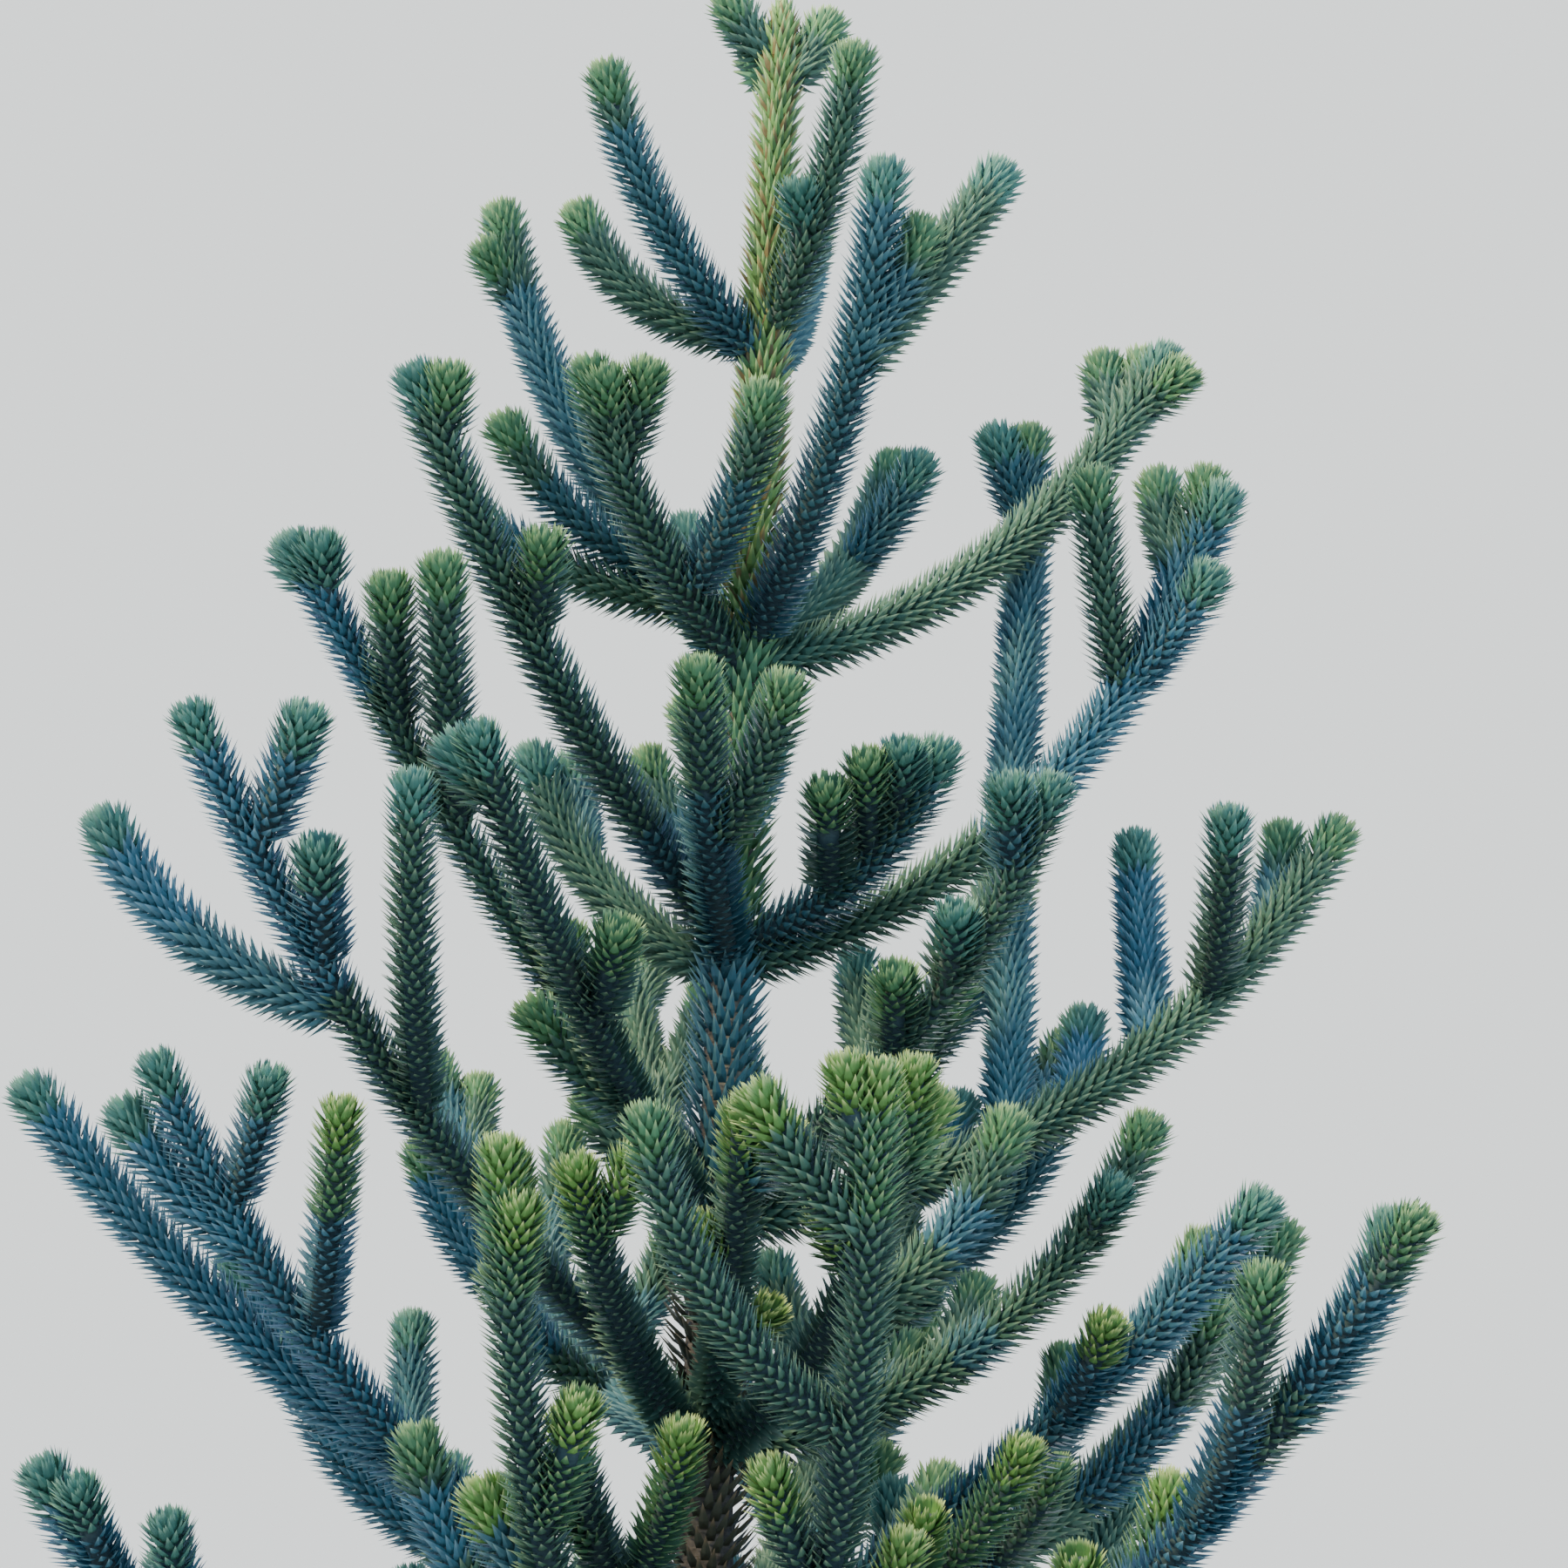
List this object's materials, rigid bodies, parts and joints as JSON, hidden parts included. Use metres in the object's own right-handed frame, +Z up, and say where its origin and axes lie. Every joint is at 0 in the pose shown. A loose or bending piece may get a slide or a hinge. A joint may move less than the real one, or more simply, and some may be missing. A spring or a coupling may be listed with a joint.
{
  "type": "monkey puzzle tree",
  "caption": "Young monkey puzzle tree rooted in the ground: straight trunk with rings of upswept, blunt-tipped arms clad in stiff overlapping pointed leaves.",
  "frame": {"origin": "centre of the trunk's flat cut at ground level", "axes": "+Z up along the trunk, +X to the right of the pictured side, +Y away from the pictured side"},
  "size_m": [1.5878, 1.5489, 3.452],
  "materials": {
    "bark": "grey-brown bark with level rings and old leaf scars",
    "arm_leaves": "stiff glossy blue-green pointed leaves",
    "leader_leaves": "young yellow-green pointed leaves"
  },
  "bodies": {
    "root": {"trunk": "bark", "leader_1": "leader_leaves", "leader_2": "leader_leaves", "leader_3": "leader_leaves", "leader_4": "leader_leaves", "leader_5": "leader_leaves", "arm_1_1": "leader_leaves", "arm_1_2": "leader_leaves", "arm_1_3": "leader_leaves", "arm_2_1": "arm_leaves", "arm_2_2": "arm_leaves", "arm_2_3": "arm_leaves", "arm_2_4": "arm_leaves", "arm_3_1": "arm_leaves", "arm_3_2": "arm_leaves", "arm_3_3": "arm_leaves", "arm_3_4": "arm_leaves", "arm_3_5": "arm_leaves", "arm_3_6": "arm_leaves", "arm_4_1": "arm_leaves", "arm_4_2": "arm_leaves", "arm_4_3": "arm_leaves", "arm_4_4": "arm_leaves", "arm_4_5": "arm_leaves", "arm_4_6": "arm_leaves", "arm_5_1": "arm_leaves", "arm_5_2": "arm_leaves", "arm_5_3": "arm_leaves", "arm_5_4": "arm_leaves", "arm_5_5": "arm_leaves", "arm_5_6": "arm_leaves", "arm_6_1": "arm_leaves", "arm_6_2": "arm_leaves", "arm_6_3": "arm_leaves", "arm_6_4": "arm_leaves", "arm_6_5": "arm_leaves", "arm_6_6": "arm_leaves", "arm_6_7": "arm_leaves", "arm_7_1": "arm_leaves", "arm_7_2": "arm_leaves", "arm_7_3": "arm_leaves", "arm_7_4": "arm_leaves", "arm_7_5": "arm_leaves", "arm_7_6": "arm_leaves", "arm_7_7": "arm_leaves", "arm_8_1": "arm_leaves", "arm_8_2": "arm_leaves", "arm_8_3": "arm_leaves", "arm_8_4": "arm_leaves", "arm_8_5": "arm_leaves", "arm_8_6": "arm_leaves", "arm_9_1": "arm_leaves", "arm_9_2": "arm_leaves", "arm_9_3": "arm_leaves", "arm_9_4": "arm_leaves", "arm_9_5": "arm_leaves", "arm_10_1": "arm_leaves", "arm_10_2": "arm_leaves", "arm_10_3": "arm_leaves", "arm_10_4": "arm_leaves"}
  },
  "joints": []
}
